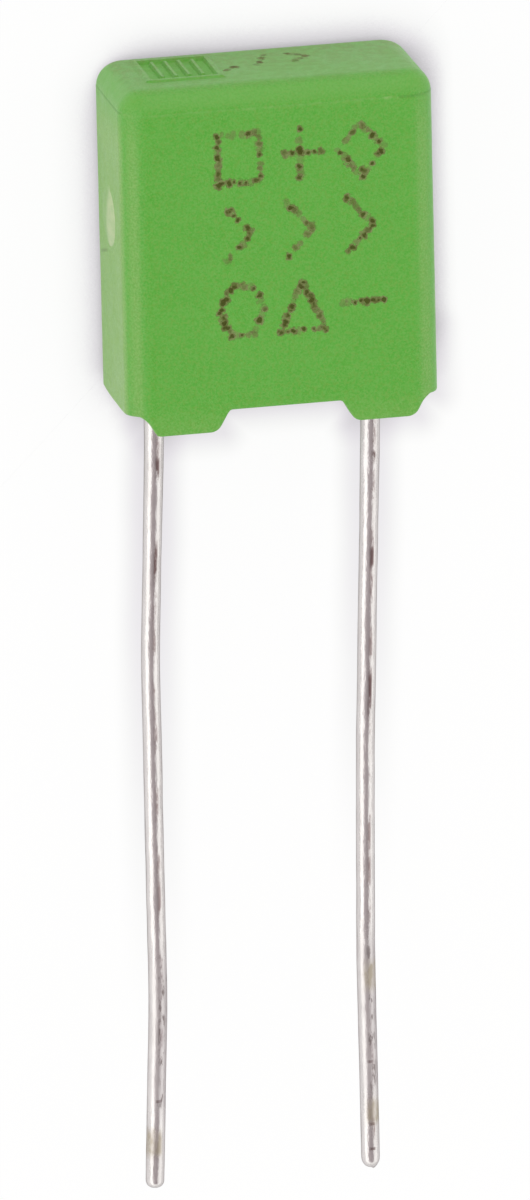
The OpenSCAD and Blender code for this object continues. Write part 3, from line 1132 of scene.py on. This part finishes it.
# %% [markdown]
# ## Floor and light
# The picture has a white ground with a soft shade, slightly lavender, round the box and beside the wires.
# The floor is a plain white sheet. For rays that the camera or a shiny surface sends out, most of it is
# lifted to white, and the soft shade is set by how near the box and the wires are. The light is an even
# pale studio with a dark place overhead, opposite the camera: it gives the round wires their dark stripe
# and keeps the front face clear and deep in colour. The camera itself sees a white room.

# %% Floor
WHITE = (1.0, 1.0, 1.0, 1.0)
FLOOR_HALF = 2000.0
FLOOR_LEVEL = -0.01
FLOOR_LIFT = 0.92
GLOSSY_LIFT = 0.3
SHADE_REACH = 1.3
SHADE_FROM = (-0.46, 0.4, 0.79)
SHADE = (0.45, 0.96, 0.31, 1.005)
SHADE_TINT = (0.99, 0.955, 1.01, 1.0)
TINT_RANGE = (0.75, 0.97)
FRONT_SHADE = [(0.75, 3.5, -4.56), (-1.52, 0.8, -5.06), (3.03, 0.8, -5.06)]
FRONT_SHADE_TOP = -3.0
FRONT_FADE = (-0.3, 0.75, 0.78, 1.0)
WIRE_SHIFT = (0.365, -0.53)
WIRE_HALO = (0.2, 0.95)
WIRE_DEEPEST = -5.5
WIRE_START = -3.5
WIRE_STRIDE = 30
WIRE_SHADES = [(left_line, 0.19, -20.5), (right_line, 0.16, -17.5)]


def strip_distance(spot, middle, half, level):
    """Distance on the floor from a strip with its lower edge at a level."""
    centre = (middle, (level + FRONT_SHADE_TOP) / 2, 0.0)
    halves = (half, (FRONT_SHADE_TOP - level) / 2, 1.0)
    off = vector_node("ABSOLUTE", vector_node("SUBTRACT", spot, centre))
    past = vector_node("MAXIMUM", vector_node("SUBTRACT", off, halves))
    return vector_node("LENGTH", past)


def wire_shade(parts, line, shade, end):
    """What is left of the white beside a wire. The shade is deepest at the case and ends at a level."""
    stops = line[1:-TIP_POINTS:WIRE_STRIDE]
    marks = [(x + WIRE_SHIFT[0], y + WIRE_SHIFT[1]) for x, y, z, radius in stops]
    middle = marks[0][0]
    for upper, lower in zip(marks, marks[1:]):
        aside = ramp(parts["Y"], lower[1], upper[1], lower[0] - upper[0], 0.0)
        middle = math_node("ADD", aside, middle)
    near = ramp(apart(parts["X"], middle), *WIRE_HALO, 1.0, 0.0)
    depth = band(parts["Y"], (end, WIRE_DEEPEST), (WIRE_START, FRONT_SHADE_TOP), shade)
    return math_node("SUBTRACT", 1.0, times(near, depth))


def shade_strength(place):
    """How white the floor shows: darker close to the case, at its front and beside the wires."""
    spot = millimetres(place)
    leaning = add_node(place.id_data, "ShaderNodeCombineXYZ", dict(enumerate(SHADE_FROM))).outputs[0]
    reach = {"Distance": SHADE_REACH * MM, "Normal": leaning}
    nearby = next_node("ShaderNodeAmbientOcclusion", reach, samples=8).outputs["AO"]
    strips = [strip_distance(spot, *strip) for strip in FRONT_SHADE]
    front = ramp(math_node("MINIMUM", *strips), *FRONT_FADE)
    wires = [wire_shade(split(spot), *wire) for wire in WIRE_SHADES]
    return times(ramp(nearby, *SHADE), front, *wires)


def seen_share(tree):
    """1 for rays that the camera sends out, and the outputs that tell rays apart."""
    rays = add_node(tree, "ShaderNodeLightPath").outputs
    return highest(rays["Is Camera Ray"], rays["Is Transmission Ray"]), rays


def mix_surface(share, first, second, output):
    """Sends a mix of two shaders to an output node."""
    mixed = next_node("ShaderNodeMixShader", {0: share, 1: first.outputs[0], 2: second.outputs[0]})
    set_inputs(mixed.id_data.nodes[output], {"Surface": mixed.outputs[0]})


def make_floor():
    """A white sheet under the part, just below its back."""
    material, shader, place = new_material("floor_white")
    mottle = mottle_at(place, 20.0, 3000.0)[0]
    white = blend(mottle, (0.97, 0.97, 0.975, 1.0), (0.98, 0.98, 0.985, 1.0))
    set_inputs(shader, {"Base Color": white, "Roughness": 0.9, "Specular IOR Level": 0.0})
    strength = shade_strength(place)
    tint = blend(ramp(strength, *TINT_RANGE), SHADE_TINT, WHITE)
    glow = next_node("ShaderNodeEmission", {"Strength": strength, "Color": tint})
    seen, rays = seen_share(material.node_tree)
    lift = highest(times(seen, FLOOR_LIFT), times(rays["Is Glossy Ray"], GLOSSY_LIFT))
    mix_surface(lift, shader, glow, "Material Output")
    data = bpy.data.meshes.new("floor")
    around = ((-1, -1), (1, -1), (1, 1), (-1, 1))
    corners = [Vector((x * FLOOR_HALF, y * FLOOR_HALF, FLOOR_LEVEL)) * MM for x, y in around]
    data.from_pydata(corners, [], [(0, 1, 2, 3)])
    data.materials.append(material)
    return add_object("floor", data)


make_floor()
print(f"floor {2 * FLOOR_HALF:.0f} mm square")

# %% World light
SKY = 1.02
SKY_COLOUR = (1.0, 0.99, 0.96, 1.0)
DARK_COLOUR = (1.0, 0.89, 0.9, 1.0)
DARK_PLACE = Vector((-0.06, -0.31, 0.94)).normalized()
DARK_ANGLES = (38, 20)
TOP_LAMP = Vector((0.1, 0.9, 0.42)).normalized()
LAMP_ANGLES = (36, 10)


def cone(direction, axis, angles, outside, inside):
    """A value that goes over from one to another between two angles from an axis."""
    turned = vector_node("DOT_PRODUCT", direction, axis)
    wide, narrow = (cos(radians(angle)) for angle in angles)
    return ramp(turned, wide, narrow, outside, inside)


def make_world():
    """An even pale room, dark overhead, and dim behind the top of the case but for one lamp."""
    world = bpy.data.worlds.new("studio")
    world.use_nodes = True
    tree = world.node_tree
    direction = add_node(tree, "ShaderNodeTexCoord").outputs["Generated"]
    parts = split(direction)
    clear = cone(direction, DARK_PLACE, DARK_ANGLES, 1.0, 0.0)
    lamp = cone(direction, TOP_LAMP, LAMP_ANGLES, 0.0, 1.2)
    open_sky = ramp(clear, 0.0, 1.0, 0.42, 1.0)
    horizon = ramp(parts["Z"], 0.0, 0.35, 0.55, 1.0)
    top_end = ramp(parts["Y"], 0.3, 0.8, 1.0, 0.25)
    left_side = ramp(parts["X"], -0.9, 0.1, 1.45, 1.0)
    right_side = ramp(parts["X"], 0.3, 0.9, 1.0, 1.2)
    level = times(open_sky, horizon, top_end, left_side, right_side)
    level = times(math_node("ADD", level, lamp), SKY)
    background = tree.nodes["Background"]
    set_inputs(background, {"Color": blend(clear, DARK_COLOUR, SKY_COLOUR), "Strength": level})
    white = add_node(tree, "ShaderNodeBackground", {"Color": WHITE, "Strength": 1.0})
    mix_surface(seen_share(tree)[0], background, white, "World Output")
    scene.world = world


make_world()
print("studio light set")
